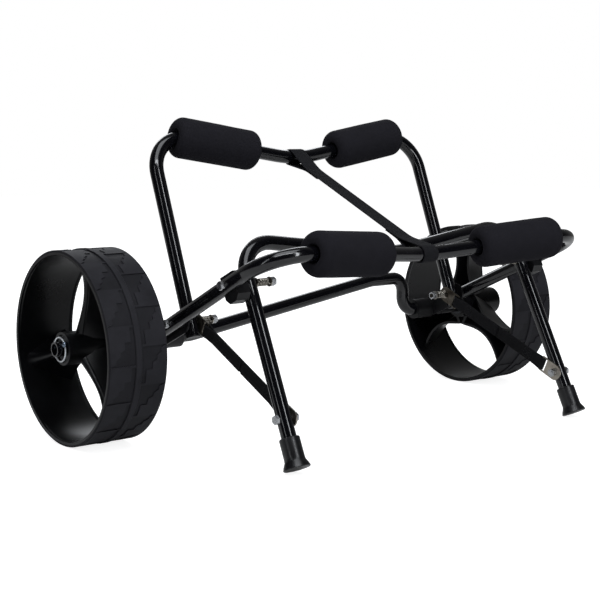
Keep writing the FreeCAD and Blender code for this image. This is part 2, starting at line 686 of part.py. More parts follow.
def springPath(radius, length, turns, start, sign):
    """A helix of quarter-turn biarcs, its ends bent to run straight along the axis."""
    stub = size["springWire"]
    bend = 1.3 * size["springWire"]
    rise = length - 2 * (stub + bend)
    quarters = int(round(4 * turns))

    def helixPoint(number):
        angle = math.pi / 2 * number
        x = stub + bend + rise * number / quarters
        place = Vector(x, radius * math.cos(angle), radius * math.sin(angle))
        slope = rise / quarters / (math.pi / 2)
        tangent = Vector(slope, -radius * math.sin(angle), radius * math.cos(angle)).normalize()
        return place, tangent

    stations = [helixPoint(number) for number in range(quarters + 1)]
    firstPlace, firstTangent = stations[0]
    lastPlace, lastTangent = stations[-1]
    foot = Vector(0, firstPlace.y, firstPlace.z) - Vector(0, firstTangent.y, firstTangent.z) * bend
    head = Vector(length, lastPlace.y, lastPlace.z) + Vector(0, lastTangent.y, lastTangent.z) * bend
    stations = [(foot, xAxis), (foot + xAxis * stub, xAxis)] + stations
    stations += [(head - xAxis * stub, xAxis), (head, xAxis)]
    turn = Rotation(zAxis, 0 if sign > 0 else 180)
    stations = [(start + turn.multVec(place), turn.multVec(tangent)) for place, tangent in stations]
    edges = [Part.LineSegment(stations[0][0], stations[1][0]).toShape()]
    for (place, tangent), (nextPlace, nextTangent) in zip(stations[1:-2], stations[2:-1]):
        edges += biarc(place, tangent, nextPlace, nextTangent)
    edges.append(Part.LineSegment(stations[-2][0], stations[-1][0]).toShape())
    return Part.Wire(edges)


def biarc(start, startTangent, end, endTangent):
    """Two arcs that leave start and reach end along the given tangents."""
    chord = end - start
    total = startTangent + endTangent
    square = 2 * (1 - startTangent.dot(endTangent))
    along = chord.dot(total)
    reach = (-along + math.sqrt(along ** 2 + square * chord.dot(chord))) / square
    firstKnee = start + startTangent * reach
    lastKnee = end - endTangent * reach
    joint = (firstKnee + lastKnee) * 0.5
    return [kneeArc(start, firstKnee, joint), kneeArc(joint, lastKnee, end)]


def kneeArc(start, knee, end):
    middle = (start + end) * 0.5
    half = (end - start).Length / 2
    leg = (knee - start).Length
    outward = (knee - middle).normalize()
    rise = half * math.tan(math.acos(min(1, half / leg)) / 2)
    return Part.Arc(start, middle + outward * rise, end).toShape()


def selfGap(wire, diameter):
    """Least gap between stretches of a wound tube that lie over half a turn apart."""
    step = 0.4
    points = wire.discretize(Distance=step)
    apart = int(math.pi * springRadius / step)
    best = min(first.distanceToPoint(second) for number, first in enumerate(points)
               for second in points[number + apart:])
    return best - diameter


def makeSpring(label, sign, start):
    path = springPath(springRadius, size["springLength"], size["springTurns"], start, sign)
    section = Part.Wire(Part.Circle(path.OrderedVertexes[0].Point, xAxis, size["springWire"] / 2).toShape())
    tube = path.makePipeShell([section], True, False)
    print(label, "least gap %.2f mm" % selfGap(path, size["springWire"]))
    node(label, feature(label, tube))


def makePivot(label, side, sign, centre, stack, frontReach, legInner):
    """Bolt from outside the front leg to the nut inside, with washers and spring on it."""
    gap = size["sideGap"]
    headInner = frontLegX(frontReach) + frontOuter + gap
    flip = Rotation(zAxis, 0 if sign > 0 else 180)
    firstWasher = legInner - gap - stack
    springEnd = firstWasher - size["washerThickness"]
    springStart = springEnd - size["springLength"]
    nutEnd = springStart - size["washerThickness"]
    nutStart = nutEnd - size["nutThickness"]
    tip = nutStart - size["washerThickness"]
    offset = Vector(0, centre.y, centre.z)

    def at(distance):
        return offset + Vector(sign * distance, 0, 0)

    outward = Vector(sign, 0, 0)
    head = hexPrism("%s_head_%s" % (label, side), "Sizes.hexAcross", "Sizes.headThickness",
                    at(headInner), outward)
    shank = cylinder("%s_shank_%s" % (label, side), BOLT, "%.4f" % (headInner - tip), at(tip), outward)
    node("%s_bolt_%s" % (label, side), fuse("%s_bolt_parts_%s" % (label, side), [head, shank]))
    washers = []
    for name, start in (("spring", springEnd), ("nut", nutEnd)):
        outer = cylinder("%s_%sWasher_%s" % (label, name, side), "Sizes.washerDiameter / 2",
                         "Sizes.washerThickness", at(start), outward)
        washers.append(cut("%s_%sWasherRing_%s" % (label, name, side), outer, shank))
    node("%s_washers_%s" % (label, side), group("%s_washerPair_%s" % (label, side), washers))
    makeSpring("%s_spring_%s" % (label, side), sign, at(springStart))
    nut = hexPrism("%s_hex_%s" % (label, side), "Sizes.hexAcross", "Sizes.nutThickness",
                   at(nutStart), outward)
    node("%s_nut_%s" % (label, side), cut("%s_nutBore_%s" % (label, side), nut, shank))


def makeKickBracket(side, sign):
    """A moulded block that fills the space between the front leg and the kickstand's leg."""
    inner = kickLegX(-size["kickBracketLength"] / 2) + tubeRadius + 2 * size["sideGap"]
    along = (frontPoint(0, 1) - frontPoint(0, 0)).normalize()
    up = along.cross(xAxis).normalize()
    if up.z < 0:
        up = up * -1
    corner = kickPivot - along * (size["kickBracketLength"] / 2) - up * size["kickBracketDrop"]
    length = size["kickBracketLength"]
    height = size["kickBracketHeight"]
    bevel = size["kickBracketChamfer"]
    spots = ((bevel, 0), (length - bevel, 0), (length, bevel), (length, height), (0, height), (0, bevel))
    points = [corner + along * u + up * v + Vector(sign * inner, 0, 0) for u, v in spots]
    block = Part.Face(Part.makePolygon(points + points[:1])).extrude(
        Vector(sign * (frontLegX(size["kickPivot"]) - inner), 0, 0))
    hole = Part.makeCylinder(size["boltDiameter"] / 2, 2 * wheelInner,
                             kickPivot - Vector(wheelInner, 0, 0), xAxis)
    base = feature("kickBlock_" + side, block.cut(hole))
    node("kick_bracket_" + side, cut("kickBlockSaddle_" + side, base, frontOutside))


def makeFoot(side, sign):
    """A rubber boot on the leg's end, flattened where it stands."""
    legAxis = kickPoint(sign * kickLegX(1), 1) - kickPoint(sign * kickLegX(0), 0)
    base = kickPoint(sign * kickLegX(footReach), footReach)
    place = Placement(base, Rotation(xAxis, legAxis))
    boot = turned("boot_" + side, (
        ("0", "0"), ("0", "Sizes.footBase / 2 - Sizes.footRound"), ("Sizes.footRound", "Sizes.footBase / 2"),
        ("Sizes.footFlare / 2", "Sizes.footBase / 2 - 1.5 * Sizes.footRound"),
        ("Sizes.footFlare", "Sizes.footDiameter / 2 + Sizes.footRound / 3"),
        ("Sizes.footFlare + 3 * Sizes.footRound", "Sizes.footDiameter / 2"),
        ("Sizes.footHeight - Sizes.footRound", "Sizes.footDiameter / 2"),
        ("Sizes.footHeight", "Sizes.footDiameter / 2 - Sizes.footRound"), ("Sizes.footHeight", "0")), place)
    below = doc.addObject("Part::Box", "ground_" + side)
    span = 4 * size["footBase"]
    below.Length = below.Width = below.Height = span
    below.Placement = Placement(Vector(base.x - span / 2, base.y - span / 2, -span), Rotation())
    node("kick_foot_" + side, cut("kickFoot_" + side, boot, fuse("bootCuts_" + side, [below, kickOutside])))


# The stays' slotted tabs and webbing

stayLower = kickPoint(0, -size["stayBolt"])
stayAlong = (stayLower - mainPivot).normalize()
stayUpperX = backLeg - tubeRadius - size["sideGap"] - size["tabThickness"]
stayLowerX = kickLegX(-size["stayBolt"]) - tubeRadius - size["sideGap"] - size["tabThickness"]


def makeTab(label, side, sign, bolt, along, innerX):
    """A plate that is round at its bolt and square past its slot."""
    across = xAxis.cross(along)
    half = size["tabWidth"] / 2
    nearX = sign * innerX
    depth = Vector(sign * size["tabThickness"], 0, 0)
    end = size["tabLength"]

    def at(u, v):
        return bolt + along * u + across * v + Vector(nearX, 0, 0)

    edges = [Part.Arc(at(0, -half), at(-half, 0), at(0, half)).toShape(),
             Part.LineSegment(at(0, half), at(end, half)).toShape(),
             Part.LineSegment(at(end, half), at(end, -half)).toShape(),
             Part.LineSegment(at(end, -half), at(0, -half)).toShape()]
    solid = Part.Face(Part.Wire(edges)).extrude(depth)
    slotEnd = end - size["tabBar"]
    slotStart = slotEnd - size["tabSlot"]
    wide = (size["stayWidth"] + size["slotPlay"]) / 2
    slot = Part.Face(Part.makePolygon([at(slotStart, -wide), at(slotEnd, -wide), at(slotEnd, wide),
                                       at(slotStart, wide), at(slotStart, -wide)])).extrude(depth)
    hole = Part.makeCylinder(size["boltDiameter"] / 2, 2 * wheelInner,
                             bolt - Vector(wheelInner, 0, 0), xAxis)
    node("%s_%s" % (label, side), feature("%s_%s" % (label, side), solid.cut([slot, hole])))


def teardrop(radius, throat, half, flip, length):
    """A loop's outline round a bar, closing at its throat; flipped for the far end."""
    angle = math.atan2(half, throat) + math.acos(radius / math.hypot(throat, half))
    turn = -1 if flip else 1
    shift = length if flip else 0

    def at(u, v):
        return Vector(shift + turn * u, v, 0)

    upper = at(radius * math.cos(angle), radius * math.sin(angle))
    lower = at(radius * math.cos(angle), -radius * math.sin(angle))
    edges = [Part.Arc(upper, at(-radius, 0), lower).toShape()]
    edges.append(Part.LineSegment(lower, at(throat, -half)).toShape())
    if half > 0:
        edges.append(Part.LineSegment(at(throat, -half), at(throat, half)).toShape())
    edges.append(Part.LineSegment(at(throat, half), upper).toShape())
    return Part.Face(Part.Wire(edges))


def loopedStrap(label, start, end, across, width, layer, band, radius, throat):
    """Webbing from one bar to another, with a closed loop round each."""
    along = (end - start).normalize()
    side = across.cross(along).normalize()
    length = (end - start).Length
    half = band / 2
    outer = [teardrop(radius + layer, throat, half, flip, length) for flip in (False, True)]
    inner = [teardrop(radius, throat - 2 * layer, 0, flip, length) for flip in (False, True)]
    middle = Part.makePlane(length - 2 * (throat - TOLERANCE), band, Vector(throat - TOLERANCE, -half, 0))
    lift = Vector(0, 0, width)
    solid = middle.extrude(lift).multiFuse([face.extrude(lift) for face in outer])
    solid = solid.cut([face.extrude(lift) for face in inner]).removeSplitter()
    corner = start - across * (width / 2)
    matrix = Matrix(along.x, side.x, across.x, corner.x, along.y, side.y, across.y, corner.y,
                    along.z, side.z, across.z, corner.z, 0, 0, 0, 1)
    item = feature(label, solid)
    item.Placement = Placement(matrix)
    node(label, item)


def barMiddle(pointAt, dip, corner, cornerX):
    """Where the rounded middle of a dipped bar really lies."""
    slope = math.atan((corner - dip) / cornerX)
    return pointAt(0, dip + size["dipBend"] * (1 / math.cos(slope) - 1))


def makeStay(side, sign):
    half = size["tabThickness"] / 2
    barReach = size["tabLength"] - size["tabBar"] / 2
    makeTab("stay_upper_tab", side, sign, mainPivot, stayAlong, stayUpperX)
    makeTab("stay_lower_tab", side, sign, stayLower, stayAlong * -1, stayLowerX)
    start = mainPivot + stayAlong * barReach + Vector(sign * (stayUpperX + half), 0, 0)
    end = stayLower - stayAlong * barReach + Vector(sign * (stayLowerX + half), 0, 0)
    along = (end - start).normalize()
    across = along.cross(xAxis).normalize()
    radius = math.hypot(size["tabBar"], size["tabThickness"]) / 2 + size["sideGap"]
    loopedStrap("stay_strap_" + side, start, end, across, size["stayWidth"], size["stayLayer"],
                2 * size["stayLayer"], radius, size["stayThroat"])
    headInner = kickLegX(-size["stayBolt"]) + tubeRadius + size["sideGap"]
    nutEnd = stayLowerX
    tip = nutEnd - size["nutThickness"] - size["washerThickness"]
    outward = Vector(sign, 0, 0)

    def at(distance):
        return stayLower + Vector(sign * distance, 0, 0)

    head = hexPrism("stay_head_" + side, "Sizes.hexAcross", "Sizes.headThickness", at(headInner), outward)
    shank = cylinder("stay_shank_" + side, BOLT, "%.4f" % (headInner - tip), at(tip), outward)
    node("stay_bolt_" + side, fuse("stay_bolt_parts_" + side, [head, shank]))
    nut = hexPrism("stay_hex_" + side, "Sizes.hexAcross", "Sizes.nutThickness",
                   at(nutEnd - size["nutThickness"]), outward)
    node("stay_nut_" + side, cut("stay_nutBore_" + side, nut, shank))


def makeLockingPin(side, sign):
    centre = Vector(sign * (axleEnd - size["pinInset"]), 0, axleZ)
    headReach = size["recessDiameter"] / 2 - size["pinHeadDiameter"] / 2
    tail = headReach - size["pinTailInset"]
    headCentre = centre + pinDirection * headReach
    shank = cylinder("pinShank_" + side, "Sizes.pinDiameter / 2", "%.4f" % (headReach + tail),
                     centre - pinDirection * tail, pinDirection)
    ball = doc.addObject("Part::Sphere", "pinBall_" + side)
    bind(ball, Radius="Sizes.pinHeadDiameter / 2")
    ball.Placement = Placement(headCentre, Rotation())
    hinge = xAxis.cross(pinDirection).normalize()
    hole = cylinder("ringHole_" + side, "Sizes.ringWire / 2 + Sizes.ringLoose", "3 * Sizes.pinHeadDiameter",
                    headCentre - hinge * (1.5 * size["pinHeadDiameter"]), hinge)
    node("lynch_pin_" + side, cut("lockingPin_" + side, fuse("pinParts_" + side, [shank, ball]), hole))
    loop = doc.addObject("Part::Torus", "ringLoop_" + side)
    bind(loop, Radius1="(Sizes.ringDiameter - Sizes.ringWire) / 2", Radius2="Sizes.ringWire / 2")
    ringReach = (size["ringDiameter"] - size["ringWire"]) / 2
    loop.Placement = aimed(headCentre - pinDirection * ringReach, xAxis)
    node("lynch_ring_" + side, loop)


def makePlug(side, sign):
    end = backPoint(sign * backLeg, -size["backTail"])
    along = (backPoint(0, 1) - backPoint(0, 0)).normalize()
    stem = cylinder("plugStem_" + side, "Sizes.tubeDiameter / 2 - Sizes.tubeWall", "4 * Sizes.plugLip",
                    end, along)
    lip = cylinder("plugLip_" + side, TUBE, "Sizes.plugLip", end - along * size["plugLip"], along)
    node("back_plug_" + side, fuse("plugParts_" + side, [stem, lip]))


for side, sign in SIDES:
    makeAxleBracket(side, sign)
    makeSpacers(side, sign)
    makePivot("main_pivot", side, sign, mainPivot, size["tabThickness"], size["mainPivot"],
              backLeg - tubeRadius)
    makePivot("kick_pivot", side, sign, kickPivot, 0, size["kickPivot"], kickLeg - tubeRadius)
    makeKickBracket(side, sign)
    makeFoot(side, sign)
    makeStay(side, sign)
    makeLockingPin(side, sign)
    makePlug(side, sign)

strapBack = barMiddle(backPoint, size["backDip"], size["backCorner"], backLeg)
strapFront = barMiddle(frontPoint, size["frontDip"], size["frontCorner"], frontLegX(size["frontCorner"]))
loopedStrap("top_strap", strapBack, strapFront, xAxis, size["strapWidth"], size["strapLayer"],
            size["strapLayer"], tubeRadius + size["loopPlay"], size["loopThroat"])

doc.recompute()
for item in doc.Objects:
    if "Invalid" in item.State or "Error" in item.State:
        raise RuntimeError("%s is %s" % (item.Name, item.State))
for item in nodes:
    if item.Shape.isNull() or not item.Shape.isValid():
        raise RuntimeError("%s has no valid shape" % item.Label)
    item.Shape.exportStep("parts/%s.step" % item.Label)
print(len(nodes), "nodes written")
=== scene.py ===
import json
import math

import bpy
from mathutils import Matrix, Vector, noise


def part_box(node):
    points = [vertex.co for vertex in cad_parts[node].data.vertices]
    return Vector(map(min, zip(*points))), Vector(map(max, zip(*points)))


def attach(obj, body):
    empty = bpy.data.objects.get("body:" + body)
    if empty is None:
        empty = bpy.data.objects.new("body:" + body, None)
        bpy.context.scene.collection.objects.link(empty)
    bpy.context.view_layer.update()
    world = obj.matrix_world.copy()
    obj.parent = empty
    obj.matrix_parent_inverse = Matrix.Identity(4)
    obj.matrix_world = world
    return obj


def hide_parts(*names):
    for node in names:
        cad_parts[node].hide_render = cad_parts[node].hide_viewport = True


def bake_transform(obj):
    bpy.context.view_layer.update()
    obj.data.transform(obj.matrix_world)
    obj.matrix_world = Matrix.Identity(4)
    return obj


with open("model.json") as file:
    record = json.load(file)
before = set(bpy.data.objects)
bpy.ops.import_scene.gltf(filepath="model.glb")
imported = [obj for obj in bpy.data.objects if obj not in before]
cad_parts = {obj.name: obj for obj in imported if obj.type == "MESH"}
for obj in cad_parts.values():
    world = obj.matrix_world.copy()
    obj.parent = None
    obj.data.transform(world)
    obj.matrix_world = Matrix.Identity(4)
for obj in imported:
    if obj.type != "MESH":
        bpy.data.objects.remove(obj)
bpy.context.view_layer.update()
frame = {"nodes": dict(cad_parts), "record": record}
nodes = frame["nodes"]
joints = {joint["name"]: joint for joint in frame["record"]["behaviour"]["joints"]}
sides = (("left", -1), ("right", 1))
mm = 0.001
xAxis = Vector((1, 0, 0))
mainPivot = Vector(joints["back_frame_fold"]["pos_m"])
axleCentre = Vector((0, 0, joints["wheel_left_spin"]["pos_m"][2]))


# The camera stands where the photograph was taken
cameraSet = {"place": (-1.149, -1.451, 0.389), "yaw": 38.2, "pitch": -7.1, "roll": -0.21,
             "lens": 76.44, "sensor": 36, "farthest": 60}


# Unit vector for a compass turn and a tilt, both in degrees
def heading(yaw, pitch):
    yaw, pitch = math.radians(yaw), math.radians(pitch)
    return Vector((math.sin(yaw) * math.cos(pitch), math.cos(yaw) * math.cos(pitch), math.sin(pitch)))


def addCamera(settings):
    camera = bpy.data.objects.new("camera", bpy.data.cameras.new("camera"))
    bpy.context.scene.collection.objects.link(camera)
    camera.data.lens = settings["lens"]
    camera.data.sensor_width = settings["sensor"]
    camera.data.clip_end = settings["farthest"]
    aim = heading(settings["yaw"], settings["pitch"]).to_track_quat("-Z", "Y").to_matrix()
    tilt = Matrix.Rotation(math.radians(settings["roll"]), 3, "Z")
    camera.matrix_world = Matrix.Translation(settings["place"]) @ (aim @ tilt).to_4x4()
    bpy.context.scene.camera = camera


addCamera(cameraSet)
print("camera stands")


# Sets a socket, or links it when the value is another socket
def put(tree, socket, value):
    if isinstance(value, bpy.types.NodeSocket):
        tree.links.new(value, socket)
    else:
        socket.default_value = value


# Input names are given with underscores for their spaces
def addNode(tree, kind, settings=None, **inputs):
    node = tree.nodes.new("ShaderNode" + kind)
    for name, value in (settings or {}).items():
        setattr(node, name, value)
    for name, value in inputs.items():
        put(tree, node.inputs[name.replace("_", " ")], value)
    return node


def calc(tree, operation, first, second=0.0, clamp=False):
    node = addNode(tree, "Math", {"operation": operation, "use_clamp": clamp})
    put(tree, node.inputs[0], first)
    put(tree, node.inputs[1], second)
    return node.outputs[0]


def vectorCalc(tree, operation, first, second=(0, 0, 0), output="Vector"):
    node = addNode(tree, "VectorMath", {"operation": operation})
    put(tree, node.inputs[0], first)
    put(tree, node.inputs[1], second)
    return node.outputs[output]


def smoothFade(tree, value, start, end, before=0.0, after=1.0):
    node = addNode(tree, "MapRange", {"interpolation_type": "SMOOTHSTEP"}, Value=value,
                   From_Min=start, From_Max=end, To_Min=before, To_Max=after)
    return node.outputs["Result"]


# The Mix node repeats its socket names for each kind of value, so the colour ones are picked by type
def mixColours(tree, factor, low, high):
    node = addNode(tree, "Mix", {"data_type": "RGBA"}, Factor=factor)
    first, second = [socket for socket in node.inputs if socket.type == "RGBA"]
    put(tree, first, low)
    put(tree, second, high)
    return [socket for socket in node.outputs if socket.type == "RGBA"][0]


def ramp(tree, factor, stops):
    node = tree.nodes.new("ShaderNodeValToRGB")
    elements = node.color_ramp.elements
    for element, (place, colour) in zip(elements, stops):
        element.position = place
        element.color = (*colour, 1) if isinstance(colour, tuple) else (colour, colour, colour, 1)
    put(tree, node.inputs[0], factor)
    return node.outputs[0]


# Every effect puts out a height for the bump and a tone between the dark and the light of the finish
def newGroup(name, inputs):
    tree = bpy.data.node_groups.new(name, "ShaderNodeTree")
    for label, value in inputs.items():
        socket = tree.interface.new_socket(label, in_out="INPUT", socket_type="NodeSocketFloat")
        socket.default_value = value
    for label in ("Height", "Tone"):
        tree.interface.new_socket(label, in_out="OUTPUT", socket_type="NodeSocketFloat")
    return tree, tree.nodes.new("NodeGroupInput").outputs, tree.nodes.new("NodeGroupOutput").inputs


def grainGroup():
    tree, given, result = newGroup("grain", {"Fine Scale": 900.0, "Coarse Scale": 30.0})
    place = tree.nodes.new("ShaderNodeTexCoord").outputs["Object"]
    fine = addNode(tree, "TexNoise", Vector=place, Scale=given["Fine Scale"], Detail=4.0, Roughness=0.6)
    coarse = addNode(tree, "TexNoise", Vector=place, Scale=given["Coarse Scale"], Detail=5.0, Roughness=0.65)
    tree.links.new(fine.outputs["Fac"], result["Height"])
    tree.links.new(ramp(tree, coarse.outputs["Fac"], ((0.3, 0.0), (0.7, 1.0))), result["Tone"])
    return tree


# Foam skin: fine open cells over soft lumps
def poreGroup():
    tree, given, result = newGroup("pores", {"Cell Scale": 700.0, "Skin Scale": 45.0})
    place = tree.nodes.new("ShaderNodeTexCoord").outputs["Object"]
    cells = addNode(tree, "TexVoronoi", Vector=place, Scale=given["Cell Scale"], Randomness=1.0)
    lumps = addNode(tree, "TexNoise", Vector=place, Scale=given["Skin Scale"], Detail=6.0, Roughness=0.7)
    pit = calc(tree, "SMOOTH_MIN", cells.outputs["Distance"], 0.6)
    swell = calc(tree, "MULTIPLY", lumps.outputs["Fac"], 0.8)
    tree.links.new(calc(tree, "ADD", pit, swell), result["Height"])
    tree.links.new(lumps.outputs["Fac"], result["Tone"])
    return tree


# Webbing: columns of yarn that lean to one side and the other in turn
def weaveGroup():
    tree, given, result = newGroup("weave", {"Columns": 10.0, "Rows": 20.0})
    spot = addNode(tree, "SeparateXYZ", Vector=tree.nodes.new("ShaderNodeTexCoord").outputs["UV"]).outputs
    column = calc(tree, "MULTIPLY", spot["X"], given["Columns"])
    share = calc(tree, "FRACT", column)
    odd = calc(tree, "MODULO", calc(tree, "FLOOR", column), 2.0)
    side = calc(tree, "SUBTRACT", calc(tree, "MULTIPLY", odd, 2.0), 1.0)  # -1 or 1
    lean = calc(tree, "MULTIPLY", side, calc(tree, "SUBTRACT", share, 0.5))
    row = calc(tree, "ADD", calc(tree, "MULTIPLY", spot["Y"], given["Rows"]), lean)
    yarn = calc(tree, "MULTIPLY", calc(tree, "SINE", calc(tree, "MULTIPLY", row, 2 * math.pi)), 0.5)
    yarn = calc(tree, "ADD", yarn, 0.5)
    crown = calc(tree, "SINE", calc(tree, "MULTIPLY", share, math.pi))
    height = calc(tree, "MULTIPLY", yarn, calc(tree, "POWER", crown, 0.5))
    place = tree.nodes.new("ShaderNodeTexCoord").outputs["Object"]
    fuzz = addNode(tree, "TexNoise", Vector=place, Scale=60.0, Detail=6.0, Roughness=0.7)
    tree.links.new(height, result["Height"])
    # The tone is half painted shade, darker in the low places between the yarns, and half a random fuzz
    tone = calc(tree, "MULTIPLY", calc(tree, "ADD", height, fuzz.outputs["Fac"]), 0.5)
    tree.links.new(tone, result["Tone"])
    return tree


groups = {"grain": grainGroup(), "pores": poreGroup(), "weave": weaveGroup()}
materials = {}


# One material: colour and roughness lie between two values by the effect's tone, and its height
# gives the relief, which is a strength and a depth
def finish(name, effectName, scales, dark, light, roughness, relief, **fixed):
    made = bpy.data.materials.new(name)
    made.use_nodes = True
    tree = made.node_tree
    shader = tree.nodes["Principled BSDF"]
    effect = tree.nodes.new("ShaderNodeGroup")
    effect.node_tree = groups[effectName]
    for label, value in scales.items():
        effect.inputs[label].default_value = value
    tone, height = effect.outputs["Tone"], effect.outputs["Height"]
    put(tree, shader.inputs["Base Color"], ramp(tree, tone, ((0.0, dark), (1.0, light))))
    put(tree, shader.inputs["Roughness"], ramp(tree, tone, ((0.0, roughness[0]), (1.0, roughness[1]))))
    bump = addNode(tree, "Bump", Strength=relief[0], Distance=relief[1], Height=height)
    tree.links.new(bump.outputs["Normal"], shader.inputs["Normal"])
    for label, value in fixed.items():
        shader.inputs[label.replace("_", " ")].default_value = value
    materials[name] = made
    return made


finish("tubePaint", "grain", {"Fine Scale": 60.0, "Coarse Scale": 9.0},
       dark=(0.0014, 0.0014, 0.0022), light=(0.0024, 0.0024, 0.0034), roughness=(0.13, 0.17),
       relief=(0.004, 0.0001), Coat_Weight=0.4, Coat_Roughness=0.06, Specular_IOR_Level=0.4)
finish("padFoam", "pores", {"Cell Scale": 750.0, "Skin Scale": 60.0},
       dark=(0.0075, 0.0072, 0.0095), light=(0.0135, 0.013, 0.0165), roughness=(0.9, 1.0),
       relief=(0.4, 0.0004), Specular_IOR_Level=0.1)
finish("strapWeb", "weave", {"Columns": 11.0, "Rows": 17.0},
       dark=(0.0035, 0.0035, 0.0045), light=(0.013, 0.013, 0.0155), roughness=(0.75, 0.95),
       relief=(0.6, 0.0003), Specular_IOR_Level=0.15)
finish("stayWeb", "weave", {"Columns": 8.0, "Rows": 12.0},
       dark=(0.0025, 0.0025, 0.003), light=(0.0085, 0.0085, 0.01), roughness=(0.75, 0.95),
       relief=(0.6, 0.0003), Specular_IOR_Level=0.15)
finish("sewingThread", "grain", {"Fine Scale": 2500.0, "Coarse Scale": 90.0},
       dark=(0.009, 0.009, 0.011), light=(0.018, 0.018, 0.021), roughness=(0.6, 0.75),
       relief=(0.3, 0.0002), Specular_IOR_Level=0.2)
finish("rimPlastic", "grain", {"Fine Scale": 90.0, "Coarse Scale": 14.0},
       dark=(0.0018, 0.0018, 0.0023), light=(0.003, 0.003, 0.0037), roughness=(0.26, 0.36),
       relief=(0.03, 0.0003), Specular_IOR_Level=0.25)
finish("footRubber", "grain", {"Fine Scale": 900.0, "Coarse Scale": 40.0},
       dark=(0.0025, 0.0025, 0.003), light=(0.005, 0.005, 0.006), roughness=(0.26, 0.38),
       relief=(0.1, 0.0003))
finish("blackPlastic", "grain", {"Fine Scale": 700.0, "Coarse Scale": 35.0},
       dark=(0.0025, 0.0025, 0.003), light=(0.005, 0.005, 0.006), roughness=(0.34, 0.46),
       relief=(0.1, 0.0003), Specular_IOR_Level=0.35)
finish("ringSteel", "grain", {"Fine Scale": 1200.0, "Coarse Scale": 160.0},
       dark=(0.7, 0.74, 0.78), light=(0.92, 0.94, 0.97), roughness=(0.34, 0.46),
       relief=(0.04, 0.0001), Metallic=0.75)
finish("darkWasher", "grain", {"Fine Scale": 1200.0, "Coarse Scale": 120.0},
       dark=(0.02, 0.021, 0.023), light=(0.05, 0.052, 0.056), roughness=(0.3, 0.42),
       relief=(0.1, 0.0002), Metallic=1.0)
finish("springWire", "grain", {"Fine Scale": 1500.0, "Coarse Scale": 260.0},
       dark=(0.2, 0.185, 0.16), light=(0.5, 0.47, 0.42), roughness=(0.2, 0.36),
       relief=(0.1, 0.0002), Metallic=1.0)
finish("stainlessTab", "grain", {"Fine Scale": 1600.0, "Coarse Scale": 90.0},
       dark=(0.3, 0.27, 0.23), light=(0.52, 0.48, 0.42), roughness=(0.28, 0.42),
       relief=(0.12, 0.0002), Metallic=1.0)
# A darker copy of the stainless tab finish, a painted shade for the upper tabs
finish("shadedStainlessTab", "grain", {"Fine Scale": 1400.0, "Coarse Scale": 130.0},
       dark=(0.06, 0.053, 0.043), light=(0.2, 0.18, 0.15), roughness=(0.34, 0.5),
       relief=(0.14, 0.0002), Metallic=1.0)
finish("pinSteel", "grain", {"Fine Scale": 1500.0, "Coarse Scale": 200.0},
       dark=(0.1, 0.13, 0.17), light=(0.26, 0.32, 0.4), roughness=(0.18, 0.3),
       relief=(0.08, 0.0002), Metallic=1.0)

zinc = {"effectName": "grain", "scales": {"Fine Scale": 1200.0, "Coarse Scale": 160.0},
        "dark": (0.3, 0.31, 0.32), "light": (0.62, 0.63, 0.65), "roughness": (0.2, 0.36),
        "relief": (0.1, 0.0002), "Metallic": 1.0}
finish("zincPlate", **zinc)
# Where the painted shade on the bolt shanks ends, how softly it fades, and its colour
shankShade = {"end": 246 * mm, "fade": 4 * mm, "colour": (0.035, 0.032, 0.028)}


# Pivot bolts: bright zinc near the ends, with a painted shade where they pass through springs and brackets
def boltSteel():
    made = finish("boltSteel", **zinc)
    tree = made.node_tree
    colour = tree.nodes["Principled BSDF"].inputs["Base Color"]
    spot = addNode(tree, "SeparateXYZ", Vector=tree.nodes.new("ShaderNodeTexCoord").outputs["Object"])
    reach = calc(tree, "ABSOLUTE", spot.outputs["X"])
    bright = smoothFade(tree, reach, shankShade["end"], shankShade["end"] + shankShade["fade"])
    # The shank between the bright ends gets the painted shade colour
    put(tree, colour, mixColours(tree, bright, (*shankShade["colour"], 1), colour.links[0].from_socket))


boltSteel()
tread = {"shade": (0.0012, 0.0012, 0.0016), "wall": 0.55, "top": 0.95, "sideFade": 0.3,
         "groundRadius": 125.2 * mm, "topRadius": 126.2 * mm, "groundShade": 0.3}


# Tread rubber: the walls round each block and the sunken ground are painted darker, a painted shade
def treadRubber():
    made = finish("treadRubber", "grain", {"Fine Scale": 1400.0, "Coarse Scale": 26.0},
                  dark=(0.0105, 0.0103, 0.013), light=(0.0185, 0.0182, 0.022), roughness=(0.55, 0.7),
                  relief=(0.2, 0.0003), Specular_IOR_Level=0.15)
    tree = made.node_tree
    colour = tree.nodes["Principled BSDF"].inputs["Base Color"]
    source = tree.nodes.new("ShaderNodeTexCoord").outputs
    spoke = vectorCalc(tree, "SUBTRACT", source["Object"], tuple(axleCentre))
    spoke = vectorCalc(tree, "MULTIPLY", spoke, (0, 1, 1))  # square to the axle
    radial = vectorCalc(tree, "NORMALIZE", spoke)
    radius = vectorCalc(tree, "LENGTH", spoke, output="Value")
    outward = vectorCalc(tree, "DOT_PRODUCT", radial, source["Normal"], output="Value")
    wall = smoothFade(tree, outward, tread["wall"], tread["top"], 1.0, 0.0)
    across = addNode(tree, "SeparateXYZ", Vector=source["Normal"]).outputs["X"]
    beside = calc(tree, "SUBTRACT", 1.0, calc(tree, "ABSOLUTE", across))
    steep = calc(tree, "MULTIPLY", wall, calc(tree, "POWER", beside, tread["sideFade"], True), True)
    ground = smoothFade(tree, radius, tread["groundRadius"], tread["topRadius"], 1.0, 0.0)
    shade = calc(tree, "MAXIMUM", steep, calc(tree, "MULTIPLY", ground, tread["groundShade"]), True)
    # Painted shade: the block walls and the sunken ground take the darker tread colour
    put(tree, colour, mixColours(tree, shade, colour.links[0].from_socket, (*tread["shade"], 1)))


treadRubber()
print("finishes made:", len(materials))


